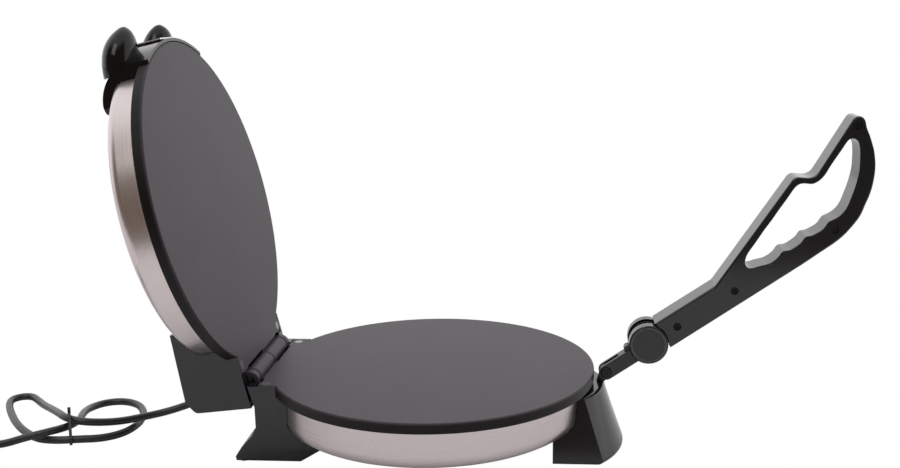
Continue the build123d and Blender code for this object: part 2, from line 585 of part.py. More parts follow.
# ---------------------------------------------------------------- front foot and lever bracket
def front_foot():
    """The moulded front foot: a round nose that flares to the floor, hugging the shell."""
    middle = (FRONT_FOOT_TOP + FOOT_BOTTOM) / 2 + 2
    back = PIVOT_X + FRONT_FOOT_BACK
    half_top, half_bottom = FRONT_FOOT_HALF_W
    levels = (FRONT_FOOT_TOP, middle, FOOT_BOTTOM)
    widths = (half_top, (half_top + half_bottom) / 2, half_bottom)
    sections = []
    for z, half, side, nose in zip(levels, widths, FRONT_FOOT_SIDE, FRONT_FOOT_NOSE):
        side, nose = PIVOT_X + side, PIVOT_X + nose
        outline = Curve() + [
            Line((side, half), (back, half)), Line((back, half), (back, -half)),
            Line((back, -half), (side, -half)),
            ThreePointArc((side, -half), (nose, 0), (side, half))]
        sections.append(Pos(0, 0, z) * make_face(outline))
    foot = loft(sections)
    foot = fillet(foot.faces().sort_by(Axis.Z)[-1].edges().sort_by(Axis.X)[-1], 3)
    foot = fillet(foot.faces().sort_by(Axis.Z)[0].edges().sort_by(Axis.X)[-1], 2.5)
    foot -= shell_room(SHELL_DEPTH, SHELL_CORNER)
    foot -= lever_lug()
    hollow_x = [PIVOT_X + x for x in FRONT_HOLLOW]
    for low, high in ((-FRONT_HOLLOW_Y[1], -FRONT_HOLLOW_Y[0]), FRONT_HOLLOW_Y):
        foot -= block(hollow_x, (low, high), (FOOT_BOTTOM, FRONT_HOLLOW_TOP))
    for x, y in both_sides(*FRONT_SCREW_XY):
        foot -= upright(x, y, SCREW_D / 2 + SCREW_ROOM, FOOT_BOTTOM, SHELL_FLOOR)
        foot -= upright(x, y, SCREW_HEAD_D / 2 + HEAD_ROOM, FOOT_BOTTOM, foot_screw_seat())
    for x, y in both_sides(*FRONT_PAD_XY):
        foot -= upright(x, y, PAD_D / 2, FOOT_BOTTOM, FOOT_BOTTOM + PAD_SUNK)
    return foot


def lever_lug():
    """The steel lug that the lever's fork turns on, moulded into the front foot."""
    eye = crosswise(PIVOT_X, PIVOT_Z, ARM_H / 2 - 0.5, -LUG_T / 2, LUG_T / 2)
    neck = side_prism(LUG_T / 2, (PIVOT_X - 5.0, PIVOT_Z), (PIVOT_X + 4.0, PIVOT_Z - 3),
                      (PIVOT_X - 2.0, -12.0), (PIVOT_X - 2.0, -34.0),
                      (PIVOT_X - 10.0, -34.0), (PIVOT_X - 8.0, -14.0))
    lug = eye + neck
    return lug - crosswise(PIVOT_X, PIVOT_Z, PIVOT_PIN_D / 2 + RUN, -LUG_T, LUG_T)


def pivot_pin():
    """The lever's headed pivot pin, held by a clip on its far end."""
    half = ARM_T / 2 + 0.2
    pin = crosswise(PIVOT_X, PIVOT_Z, PIVOT_PIN_D / 2, -half, half + 1.6)
    head = crosswise(PIVOT_X, PIVOT_Z, PIVOT_PIN_D / 2 + 1.4, -half - 1.4, -half)
    head = fillet(head.edges().group_by(Axis.Y)[0], 0.8)
    groove = crosswise(PIVOT_X, PIVOT_Z, PIVOT_PIN_D, half, half + 0.8)
    groove -= crosswise(PIVOT_X, PIVOT_Z, PIVOT_PIN_D / 2 - 0.5, half, half + 0.8)
    return pin + head - groove


def pivot_clip():
    half = ARM_T / 2 + 0.25
    ring = crosswise(PIVOT_X, PIVOT_Z, PIVOT_PIN_D / 2 + 1.6, half, half + 0.7)
    ring -= crosswise(PIVOT_X, PIVOT_Z, PIVOT_PIN_D / 2 - 0.45, half, half + 0.7)
    mouth = block((PIVOT_X, PIVOT_X + 9), (half, half + 0.7), (PIVOT_Z - 1.8, PIVOT_Z + 1.8))
    return ring - mouth


def foot_pads():
    pads = []
    for x, y in both_sides(*REAR_PAD_XY) + both_sides(*FRONT_PAD_XY):
        pad = upright(x, y, PAD_D / 2, -FACE_HEIGHT, FOOT_BOTTOM + PAD_SUNK)
        pads.append(fillet(pad.edges().group_by(Axis.Z)[0], 0.8))
    return group(*pads)


# ---------------------------------------------------------------- front cap and its track
def track_line(offset):
    """The (x, z) line of the roller track's face, set back by `offset`."""
    slope = radians(TRACK_SLOPE)
    x, bend_z = TRACK_X - offset, TRACK_BEND_Z - offset * tan(radians(90 - TRACK_SLOPE) / 2)
    run = (CAP_TOP + TRACK_T - TRACK_BEND_Z) / tan(slope)
    end = (TRACK_X - run - offset * sin(slope), CAP_TOP + TRACK_T - offset * cos(slope))
    return (x, bend_z), end


def front_cap():
    """The moulded cap on the lid's front edge, drawn shut, with its two horns."""
    inset, middle_z, flat = CAP_CROWN
    floor, end = CAP_TOP - CAP_FLOOR, CAP_R - CAP_TAIL - 10
    crown = Curve() + [
        Line((SHELL_R - 30, CAP_BOTTOM), (CAP_R, CAP_BOTTOM)),
        Line((CAP_R, CAP_BOTTOM), (CAP_R, CAP_SHOULDER_Z)),
        ThreePointArc((CAP_R, CAP_SHOULDER_Z), (CAP_R - inset, middle_z),
                      (CAP_R - flat, CAP_TOP)),
        Line((CAP_R - flat, CAP_TOP), (end, CAP_TOP)), Line((end, CAP_TOP), (end, floor)),
        Line((end, floor), (SHELL_R - 30, CAP_BOTTOM))]
    ring = revolve(Plane.XZ * make_face(crown), Axis.Z, 360)
    tail = CAP_R - CAP_TAIL
    plan = make_face(Polyline((CAP_R + 2, -CAP_HALF_W), (CAP_R + 2, CAP_HALF_W),
                              (tail, CAP_HALF_W), (tail, -CAP_HALF_W), close=True))
    plan = fillet(plan.vertices().group_by(Axis.X)[0], CAP_TAIL_ROUND)
    cap = ring & extrude(plan, 60)
    for side in (-1, 1):
        cap += horn(side)
    # the notch between the horns, floored by the track's bed
    bed = track_line(TRACK_T)
    notch = side_prism(NOTCH_HALF_W, (CAP_R, -5), bed[0], bed[1], (bed[1][0], 70),
                       (CAP_R + 30, 70), (CAP_R + 30, -5))
    cap -= notch
    cap -= turned_over(shell_room(LID_DEPTH, LID_CORNER))
    for x, y in both_sides(*FRONT_SCREW_XY):
        cap -= upright(x, y, SCREW_D / 2 + SCREW_ROOM, LID_TOP - 2, CAP_TOP + 5)
    for x, y in both_sides(*LAMP_XY):
        cap -= upright(x, y, LAMP_D / 2, CAP_TOP - 3.5, CAP_TOP + 5)
    return cap


def horn(side):
    """One horn: a rounded leaf that rises out of the cap beside the track."""
    sections = []
    for x, y, z, half_z, half_y in HORN_SECTIONS:
        place = Plane((CAP_R + x, side * y, z), x_dir=(0, 1, 0), z_dir=(1, 0, 0))
        sections.append(place * Ellipse(half_y, half_z))
    return loft(sections)


def roller_track():
    """The bent steel strip that the rollers climb."""
    outer = track_line(0)
    inner = track_line(TRACK_T)
    outline = ((TRACK_X, TRACK_BOTTOM), outer[0], outer[1], inner[1], inner[0],
               (CAP_R, TRACK_BOTTOM))
    return side_prism(NOTCH_HALF_W - 0.3, *outline)


def lamp_lens(x, y):
    lens = upright(x, y, LAMP_D / 2 - 0.1, CAP_TOP - 3.5, CAP_TOP + LAMP_PROUD)
    return fillet(lens.edges().group_by(Axis.Z)[-1], 1.2)


# ---------------------------------------------------------------- lever
def lever_arm():
    """The cast arm: forked eye, roller boss and the tang inside the handle."""
    half = ARM_H / 2
    arm = crosswise(0, 0, half, -ARM_T / 2, ARM_T / 2)
    arm += block((0, HANDLE_START_U), (-ARM_T / 2, ARM_T / 2), (-half, half))
    arm += crosswise(AXLE_U, AXLE_V, AXLE_D / 2 + 4.5, -ARM_T / 2, ARM_T / 2)
    arm += crosswise(24.5, half + 0.6, 3.2, -4, 4)
    arm += block((HANDLE_START_U - 6, TANG_END_U), (-TANG_T / 2, TANG_T / 2), (-half + 1, half))
    arm -= block((-20, FORK_DEPTH), (-FORK_GAP / 2, FORK_GAP / 2), (-20, 20))
    arm -= crosswise(0, 0, PIVOT_PIN_D / 2 + RUN, -20, 20)
    arm -= crosswise(AXLE_U, AXLE_V, AXLE_D / 2, -20, 20)
    for u, v in HANDLE_SCREW_UV[:2]:
        arm -= crosswise(u, v, SCREW_D / 2 + SCREW_ROOM, -20, 20)
    return arm


def handle_outline():
    """The loop handle's outer edge, along the arm."""
    low, high = HANDLE_V
    u = HANDLE_START_U
    start, end = HANDLE_BACK[0], HANDLE_BACK[-1]
    first = HANDLE_TOP[0]
    tangents = ((start[0] - u, start[1] - low), (first[0] - end[0], first[1] - end[1]))
    corners = [(x, y) for x, y, radius in HANDLE_TOP] + [(HANDLE_KNEE[0], high)]
    radii = [radius for x, y, radius in HANDLE_TOP] + [HANDLE_KNEE[1]]
    return Curve() + [
        Line((u, high), (u, low)), Line((u, low), start),
        Spline(*HANDLE_BACK, tangents=tangents),
        FilletPolyline(end, *corners, (u, high), radius=radii)]


def finger_hole_outline():
    """The handle's finger hole, with four finger valleys along its grip."""
    return Spline(*FINGER_HOLE, periodic=True)


def handle_face(body, side):
    """The flat outside face of a handle half."""
    return body.faces().sort_by(Axis.Y)[-1 if side > 0 else 0]


def handle_half(side):
    """One half of the clamshell handle: side -1 is the near half, +1 the far one."""
    outline = make_face(handle_outline()) - make_face(finger_hole_outline())
    half_t = HANDLE_T / 2
    body = extrude(Plane.XZ * outline, -side * half_t)
    body = fillet(handle_face(body, side).inner_wires()[0].edges(), HOLE_ROUND)
    body = fillet(handle_face(body, side).outer_wire().edges(), HANDLE_ROUND)
    body -= crosswise(AXLE_U, AXLE_V, ROLLER_D / 2 + ROLLER_ROOM, -20, 20)
    half = ARM_H / 2
    room = 0.15
    body -= block((0, TANG_END_U + 0.3), (-TANG_T / 2 - room, TANG_T / 2 + room),
                  (-half + 1 - room, half + room))
    for u, v in HANDLE_SCREW_UV:
        if side < 0:
            body -= crosswise(u, v, SCREW_D / 2 + SCREW_ROOM, -half_t, 0)
            body -= crosswise(u, v, 3.1, -half_t, -half_t + 3.4)
        else:
            body -= crosswise(u, v, SCREW_D / 2 + RUN, 0, half_t - 3)
    return body


def handle_screws():
    half_t = HANDLE_T / 2
    screws = []
    for u, v in HANDLE_SCREW_UV:
        shank = crosswise(u, v, SCREW_D / 2, -half_t + 3.4, half_t - 4)
        head = crosswise(u, v, 2.9, -half_t + 1.4, -half_t + 3.4)
        cross = block((u - 1.7, u + 1.7), (-half_t, -half_t + 2.2), (v - 0.35, v + 0.35))
        cross += block((u - 0.35, u + 0.35), (-half_t, -half_t + 2.2), (v - 1.7, v + 1.7))
        screws.append(head + shank - cross)
    return group(*screws)


def roller(side):
    """A roller with a closed, dished outer face and a blind bore for the axle."""
    low, high = ROLLER_IN_Y, ROLLER_OUT_Y
    wheel = crosswise(AXLE_U, AXLE_V, ROLLER_D / 2, low, high)
    wheel = fillet(wheel.edges().group_by(Axis.Y)[-1], 1.2)
    dish = crosswise(AXLE_U, AXLE_V, ROLLER_D / 2 - ROLLER_RIM, high - ROLLER_DISH, high)
    wheel -= dish
    wheel -= crosswise(AXLE_U, AXLE_V, AXLE_D / 2 + RUN, low, high - ROLLER_DISH - 1.6)
    if side < 0:
        wheel = mirror(wheel, Plane.XZ)
    return wheel


def roller_axle():
    reach = ROLLER_OUT_Y - ROLLER_DISH - 1.6 - 0.3
    axle = crosswise(AXLE_U, AXLE_V, AXLE_D / 2, -reach, reach)
    return chamfer(axle.edges().filter_by(GeomType.CIRCLE), 0.4)


def lever_travel():
    """How far the lever turns before its rollers all but touch the shut lid's track."""
    slope = radians(TRACK_SLOPE)
    nx, nz = sin(slope), cos(slope)
    start = (PIVOT_X - TRACK_X) * nx + (PIVOT_Z - TRACK_BEND_Z) * nz
    ahead = degrees(acos((ROLLER_D / 2 + ROLLER_GAP - start) / AXLE_REACH))
    normal = degrees(atan2(nz, nx))
    return normal + ahead - AXLE_RISE - LEVER_REST


# ---------------------------------------------------------------- inside the base
def thermostat():
    """A round bimetal thermostat clamped under the plate's middle, with two tags."""
    top = -PLATE_WEB
    body = upright(0, 0, THERMOSTAT_D / 2, top - 8, top)
    body += upright(0, 0, THERMOSTAT_D / 2 - 3, top - 12, top - 8)
    for y in (-7, 7):
        body += block((-3, 3), (y - 0.4, y + 0.4), (top - 19, top - 12))
    return body


def thermal_fuse():
    """The one-shot fuse, lying against the plate, with its two leads."""
    z = -PLATE_WEB - FUSE_D / 2
    fuse = crosswise(FUSE_X, z, FUSE_D / 2, -8, 8)
    return fuse + crosswise(FUSE_X, z, 0.5, -14, 14)


def terminal_block():
    """A three-way terminal block on the shell's floor."""
    dx, dy, dz = TERMINAL_SIZE
    low = SHELL_FLOOR + SHELL_T
    body = Pos(TERMINAL_X, 0, low + dz / 2) * Box(dy, dx, dz)
    for i in (-1, 0, 1):
        body -= upright(TERMINAL_X, i * dx / 3, 2.2, low + dz - 4, low + dz)
    return body


# ---------------------------------------------------------------- cord
def cord_hole():
    """The hole in the rear foot's wall, with a flat seat for the strain relief's flange."""
    neck = Pos(RELIEF_SEAT_X, EXIT_Y, EXIT_Z) * Rot(0, 90, 0)
    neck *= Cylinder(RELIEF_NECK_R, 2 * relief_neck() + 2)
    seat = Pos(RELIEF_SEAT_X - 10, EXIT_Y, EXIT_Z) * Rot(0, 90, 0)
    return neck + seat * Cylinder(RELIEF_FLANGE_R + 0.3, 20)


def relief_neck():
    """Length of the sleeve's neck inside the rear foot, up to the shell."""
    return -RELIEF_SEAT_X - SHELL_R + RELIEF_PAST


def strain_relief():
    """The tapered sleeve where the cord leaves the rear foot."""
    axis = Plane((RELIEF_SEAT_X, EXIT_Y, EXIT_Z), x_dir=(0, 1, 0), z_dir=(-1, 0, 0))
    sleeve = axis * Pos(0, 0, RELIEF_LENGTH / 2) * Cone(4.9, 3.7, RELIEF_LENGTH)
    sleeve += axis * Pos(0, 0, RELIEF_FLANGE_T / 2) * Cylinder(RELIEF_FLANGE_R, RELIEF_FLANGE_T)
    sleeve += axis * Pos(0, 0, -relief_neck() / 2) * Cylinder(RELIEF_NECK_R - 0.1, relief_neck())
    for i in range(3):
        groove = Cylinder(8, 1.2) - Cylinder(3.9, 1.2)
        sleeve -= axis * Pos(0, 0, 7 + 4.5 * i) * groove
    return sleeve


def bend_radii(points):
    """The radius of the arc at each corner of a cord's route."""
    points = [Vector(*point) for point in points]
    radii = []
    for before, corner, after in zip(points, points[1:], points[2:]):
        run_in, run_out = corner - before, after - corner
        turn = radians(run_in.get_angle(run_out))
        radii.append(0.45 * min(run_in.length, run_out.length) / tan(turn / 2))
    return radii


def tube(path, radius):
    """A round tube along a wire."""
    start = Plane(path @ 0, z_dir=path % 0)
    return sweep(start * Circle(radius), path=path)


def cord_path():
    return FilletPolyline(*CORD_ROUTE, radius=bend_radii(CORD_ROUTE))


def biarc(start, start_way, end, end_way):
    """Two arcs that leave `start` along one direction and reach `end` along another."""
    gap = end - start
    lean = gap.dot(start_way + end_way)
    spread = 1 - start_way.dot(end_way)
    reach = (sqrt(lean ** 2 + 2 * spread * gap.dot(gap)) - lean) / (2 * spread)
    first, second = start + start_way * reach, end - end_way * reach
    middle = (first + second) * 0.5
    return [TangentArc(start, middle, tangent=start_way),
            TangentArc(middle, end, tangent=second - first)]


def coil_stations():
    """Point and direction at each quarter turn: spiral in, climb a layer, spiral out."""
    start, before = Vector(*CORD_ROUTE[-1]), Vector(*CORD_ROUTE[-2])
    way = (start - before).normalized()
    left = Vector(-way.Y, way.X, 0)
    start += way * CORD_D
    centre = start + left * COIL_R
    turned_in, climbed, turned_out = COIL_QUARTERS
    stations = []
    for i in range(sum(COIL_QUARTERS) + 1):
        inwards = min(i, turned_in)
        outwards = max(i - turned_in - climbed, 0)
        risen = min(max(i - turned_in, 0), climbed) / climbed
        radius = COIL_R + (outwards - inwards) * COIL_PITCH / 4
        out = Vector(0, 0, 0) - left.rotate(Axis.Z, 90 * i)
        along = way.rotate(Axis.Z, 90 * i)
        grow = COIL_PITCH / 4 * (0 if i in (0, turned_in + climbed + turned_out) else 1)
        if i < turned_in:
            grow = -grow
        elif i <= turned_in + climbed:
            grow = 0
        climb = COIL_LAYER / climbed * 1.4 if 0 < risen < 1 else 0
        place = centre + out * radius + Vector(0, 0, COIL_LAYER * risen)
        heading = along * (radius * radians(90)) + out * grow + Vector(0, 0, climb)
        stations.append((place, heading.normalized()))
    return stations


def coil_path():
    """The coil's centre line, with a straight end of one cord's diameter on each side."""
    stations = coil_stations()
    first, last = stations[0], stations[-1]
    edges = [Line(first[0] - first[1] * CORD_D, first[0])]
    for (start, start_way), (end, end_way) in zip(stations, stations[1:]):
        edges += biarc(start, start_way, end, end_way)
    edges.append(Line(last[0], last[0] + last[1] * CORD_D))
    return Wire([edge for part in edges for edge in part.edges()])


def least_gap(path, step, skip):
    """The narrowest gap of a tube to itself, measured on points along its path."""
    count = int(path.length / step)
    points = [path @ (i / count) for i in range(count + 1)]
    nearest = min((points[j] - points[i]).length
                  for i in range(count) for j in range(i + skip, count + 1))
    return nearest - CORD_D


def cord_tie():
    """The wire tie round the three strands of the bunched cord, with its twisted ends."""
    heading = radians(TIE_HEADING)
    across = Plane((*TIE_AT, 0), x_dir=(-sin(heading), cos(heading), 0),
                   z_dir=(cos(heading), sin(heading), 0))
    # local x runs level across the strands, and local y is the height
    core = make_face(Polyline(*TIE_CORNERS, close=True))
    inner = offset(core, CORD_D / 2 + TIE_GAP)
    outer = offset(core, CORD_D / 2 + TIE_GAP + TIE_T)
    ring = across * extrude(outer - inner, TIE_W / 2, both=True)
    side, z = TIE_CORNERS[0]
    knot = Pos(side, z + CORD_D / 2 + TIE_GAP + 2.2) * Rot(90, 0, 0)
    return ring + across * knot * Cylinder(1.2, 4.4)


def plug_frame():
    """The plane of the cord's entry into the plug: its z axis points along the plug."""
    end, way = coil_stations()[-1]
    return Plane(end + way * CORD_D, x_dir=(-way.Y, way.X, 0), z_dir=(way.X, way.Y, 0))


def plug_face():
    """The plug's outline, x across and y up, measured from the cord's entry."""
    low = FLOOR - coil_stations()[-1][0].Z
    base = low + PLUG_CORNER
    pin_z = low + PLUG_PIN_Z
    top = pin_z + PIN_EARTH_RISE
    corners = [Pos(side * (PLUG_HALF_W - PLUG_CORNER), base) * Circle(PLUG_CORNER)
               for side in (-1, 1)]
    outline = make_hull([edge for circle in corners + [Pos(0, top) * Circle(PLUG_TOP_R)]
                         for edge in circle.edges()])
    return outline


def plug_pin_places():
    low = FLOOR - coil_stations()[-1][0].Z
    pin_y = low + PLUG_PIN_Z
    half = PIN_SPACING / 2
    return (((-half, pin_y), PIN_SIDE), ((half, pin_y), PIN_SIDE),
            ((0, pin_y + PIN_EARTH_RISE), PIN_EARTH))


def mains_plug():
    """The moulded three-pin plug with its tapered sleeve."""
    frame = plug_frame()
    body = extrude(plug_face(), PLUG_LENGTH)
    body = fillet(body.edges().group_by(Axis.Z)[0], 3.0)
    body = fillet(body.edges().group_by(Axis.Z)[-1], 1.0)
    for (x, y), (diameter, length) in plug_pin_places():
        hole = Pos(x, y, PLUG_LENGTH - PIN_SEAT / 2) * Cylinder(diameter / 2 + RUN, PIN_SEAT)
        body -= hole
    sleeve = Cone(CORD_D / 2 + 0.8, PLUG_NECK_R, PLUG_SLEEVE + 2)
    sleeve = Pos(0, 0, PLUG_SLEEVE / 2 + 1) * sleeve
    for i in range(4):
        rib = Cylinder(9, 1.2) - Cylinder(CORD_D / 2 + 1.0 + 0.55 * i, 1.2)
        sleeve -= Pos(0, 0, 5 + 4.6 * i) * rib
    return frame * (sleeve + Pos(0, 0, PLUG_SLEEVE) * body)


def plug_pins():
    frame = plug_frame()
    pins = []
    for (x, y), (diameter, length) in plug_pin_places():
        low = PLUG_SLEEVE + PLUG_LENGTH - PIN_SEAT
        high = PLUG_SLEEVE + PLUG_LENGTH + length
        pin = upright(x, y, diameter / 2, low, high)
        pins.append(frame * fillet(pin.edges().group_by(Axis.Z)[-1], diameter * 0.2))
    return group(*pins)


# ---------------------------------------------------------------- the whole part
def all_pieces():
    """Every node's name and solid, in the plate frame."""
    rear, front = both_sides(*REAR_SCREW_XY), both_sides(*FRONT_SCREW_XY)
    tabs = both_sides(*TAB_SCREW_XY)
    grip = SHELL_T + 5.0 + SCREW_GRIP
    element, shield, shield_set = heating_element(), heat_shield(), shield_screws()
    base = {
        "lower_plate": plate_casting(SHELL_DEPTH),
        "lower_shell": drawn_shell(SHELL_DEPTH, SHELL_CORNER),
        "lower_heating_element": element,
        "lower_heat_shield": shield,
        "lower_shield_screws": shield_set,
        "thermostat": thermostat(),
        "thermal_fuse": thermal_fuse(),
        "terminal_block": terminal_block(),
        "rear_foot": rear_foot(),
        "front_foot": front_foot(),
        "foot_screws": group(*[pan_screw(x, y, foot_screw_seat(), grip, down=False)
                               for x, y in rear + front]),
        "tab_screws": group(*[tab_screw(x, y) for x, y in tabs]),
        "foot_pads": foot_pads(),
        "lever_lug": lever_lug(),
        "lever_pivot_pin": pivot_pin(),
        "lever_pin_clip": pivot_clip(),
        "hinge_pin": hinge_pin(),
        "hinge_clips": hinge_clips(),
        "cord_strain_relief": strain_relief(),
        "power_cord": tube(cord_path(), CORD_D / 2),
        "cord_coil": tube(coil_path(), CORD_D / 2),
        "cord_tie": cord_tie(),
        "mains_plug": mains_plug(),
        "plug_pins": plug_pins(),
    }
    lid_tabs = [turned_over(tab_screw(x, y)) for x, y in tabs]
    block_screws = [pan_screw(x, y, block_seat(), block_seat() - LID_TOP + SCREW_GRIP)
                    for x, y in rear]
    cap_screws = [pan_screw(x, y, CAP_TOP, CAP_TOP - LID_TOP + SCREW_GRIP) for x, y in front]
    lid = {
        "upper_plate": turned_over(plate_casting(LID_DEPTH)),
        "lid_shell": turned_over(drawn_shell(LID_DEPTH, LID_CORNER)),
        "upper_heating_element": turned_over(element),
        "upper_heat_shield": turned_over(shield),
        "upper_shield_screws": turned_over(shield_set),
        "lid_rear_block": lid_block(),
        "lid_tab_screws": group(*lid_tabs),
        "lid_block_screws": group(*block_screws),
        "lid_front_cap": front_cap(),
        "lid_cap_screws": group(*cap_screws),
        "roller_track": roller_track(),
        "power_lamp_lens": lamp_lens(LAMP_XY[0], -LAMP_XY[1]),
        "ready_lamp_lens": lamp_lens(*LAMP_XY),
    }
    lever = {
        "lever_arm": lever_arm(),
        "handle_near_half": handle_half(-1),
        "handle_far_half": handle_half(1),
        "handle_screws": handle_screws(),
        "roller_axle": roller_axle(),
        "near_roller": roller(-1),
        "far_roller": roller(1),
    }
    pieces = dict(base)
    pieces.update({name: swung_open(piece) for name, piece in lid.items()})
    pieces.update({name: on_lever(piece) for name, piece in lever.items()})
    return pieces


def block_seat():
    """Height of the flat seats of the lid block's screws, below its sloping back."""
    (x1, z1), (x2, z2) = BLOCK_LINE[:2]
    x = REAR_SCREW_XY[0] - HINGE_X
    return LID_TOP + z1 + (z2 - z1) * (x - x1) / (x2 - x1) - BLOCK_POCKET


def report_cord():
    """Print what shows that the cord's tube is sound."""
    area = CORD_D ** 2 / 4 * radians(180)
    print("cord bend radii", [round(radius) for radius in bend_radii(CORD_ROUTE)])
    for name, path in (("cord", cord_path()), ("coil", coil_path())):
        volume = tube(path, CORD_D / 2).volume
        print(name, "length", round(path.length), "mm, volume", round(volume),
              "against", round(area * path.length), "and least gap to itself",
              round(least_gap(path, 2.0, 12), 2))


to_part = Pos(PLATE_X, 0, FACE_HEIGHT)
os.makedirs("parts", exist_ok=True)
for name, piece in all_pieces().items():
    export_step(to_part * piece, "parts/" + name + ".step")
    print(name, round(piece.volume), "mm3")
print("lever travel", round(lever_travel(), 2), "degrees")
report_cord()
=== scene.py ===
import json
import math
import bpy
from mathutils import Euler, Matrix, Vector


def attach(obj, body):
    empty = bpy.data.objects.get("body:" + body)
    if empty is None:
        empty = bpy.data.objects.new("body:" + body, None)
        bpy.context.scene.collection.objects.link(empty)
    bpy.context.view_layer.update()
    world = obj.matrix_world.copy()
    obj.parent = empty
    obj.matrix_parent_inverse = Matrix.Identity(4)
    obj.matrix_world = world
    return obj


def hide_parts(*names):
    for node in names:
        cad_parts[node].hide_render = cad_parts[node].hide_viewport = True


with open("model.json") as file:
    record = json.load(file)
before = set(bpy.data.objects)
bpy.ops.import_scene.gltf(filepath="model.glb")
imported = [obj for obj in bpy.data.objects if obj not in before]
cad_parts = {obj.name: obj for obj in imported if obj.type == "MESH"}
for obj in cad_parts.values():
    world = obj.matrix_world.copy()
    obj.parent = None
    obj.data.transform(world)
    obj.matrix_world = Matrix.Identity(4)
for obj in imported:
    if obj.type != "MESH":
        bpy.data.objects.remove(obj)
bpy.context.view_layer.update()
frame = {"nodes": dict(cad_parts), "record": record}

# ---------------------------------------------------------------- places and sizes, mm
# The plate frame: x = y = 0 on the plates' axis, z = 0 on the lower cooking face.
PLATE_X = -48.8             # the plates' axis in the row frame
FACE_HEIGHT = 61.5
HINGE_X, HINGE_Z = -135.0, 0.5
LID_OPEN = 104.2
ROLLER_RIM = 2.2            # width of the rollers' raised rim

CORD_D = 6.0
RELIEF_END_X = -151.4
EXIT_Y, EXIT_Z = 20.0, -30.5
LIE = -58.5                 # the cord's axis on the surface
CORD_ROUTE = (
    (RELIEF_END_X, EXIT_Y, EXIT_Z),
    (-169, EXIT_Y, EXIT_Z),
    (-187.5, 20.3, -37), (-206, 19, -44.8), (-223.5, 15.5, -50), (-240, 7.5, -51.6),
    (-254, -3.5, -51.3), (-266.5, -14.2, -48.5), (-280.8, -20.8, -45.4), (-295, -16, -44.2),
    (-306.5, -1.5, -46.3), (-325, 23.5, -52.5), (-342, 45, -57.5), (-353, 58, LIE),
    (-361.2, 66.4, LIE), (-368.6, 67.6, LIE), (-374.9, 63.6, LIE), (-377, 56.4, LIE),
    (-371.6, 43.2, LIE), (-360, 24.4, LIE), (-345.5, 4, LIE), (-329.5, -13.2, LIE),
    (-314, -25.6, LIE), (-297, -31, -57.3), (-280, -28.2, -57.1), (-263, -22.2, LIE),
    (-250, -11, LIE), (-245.3, 7.5, LIE), (-248, 28, LIE), (-256, 45, LIE),
    (-266.5, 55.5, LIE), (-279.8, 59.8, LIE), (-292.6, 55.2, LIE), (-299.6, 43.2, -58.1),
    (-298.6, 28, -55.9), (-294, 12.5, -53.1), (-289.2, -3.5, -51.4), (-292.4, -19, -51),
    (-304.5, -30.3, -51.1), (-320, -35.5, -53.9), (-336, -38, LIE), (-353, -41.2, LIE),
    (-370, -46, LIE))
COIL_R = 36.0
COIL_PITCH = 8.0
COIL_LAYER = 6.8
COIL_QUARTERS = (3, 2, 4)   # quarter turns inwards, up a layer, and outwards
COIL_STEPS = 4              # points in a quarter turn

# ---------------------------------------------------------------- camera
CAMERA_AT = (97.75, -839.99, 284.74)
CAMERA_TURN = 2.69          # degrees to the left of straight ahead
CAMERA_DOWN = 9.05          # degrees below level
CAMERA_LENS = 44.14
CAMERA_SENSOR = 36
CAMERA_SHIFT = (-0.0635, -0.0634)


def row(x, y, z):
    """A plate-frame place in millimetres as a row-frame place in metres."""
    return Vector(((x + PLATE_X) / 1000, y / 1000, (z + FACE_HEIGHT) / 1000))


def make_camera():
    data = bpy.data.cameras.new("photo_camera")
    data.sensor_width = CAMERA_SENSOR
    data.lens = CAMERA_LENS
    data.shift_x, data.shift_y = CAMERA_SHIFT
    camera = bpy.data.objects.new("photo_camera", data)
    camera.location = row(*CAMERA_AT)
    camera.rotation_euler = Euler(
        (math.radians(90 - CAMERA_DOWN), 0, math.radians(CAMERA_TURN)), "XYZ")
    bpy.context.collection.objects.link(camera)
    bpy.context.scene.camera = camera


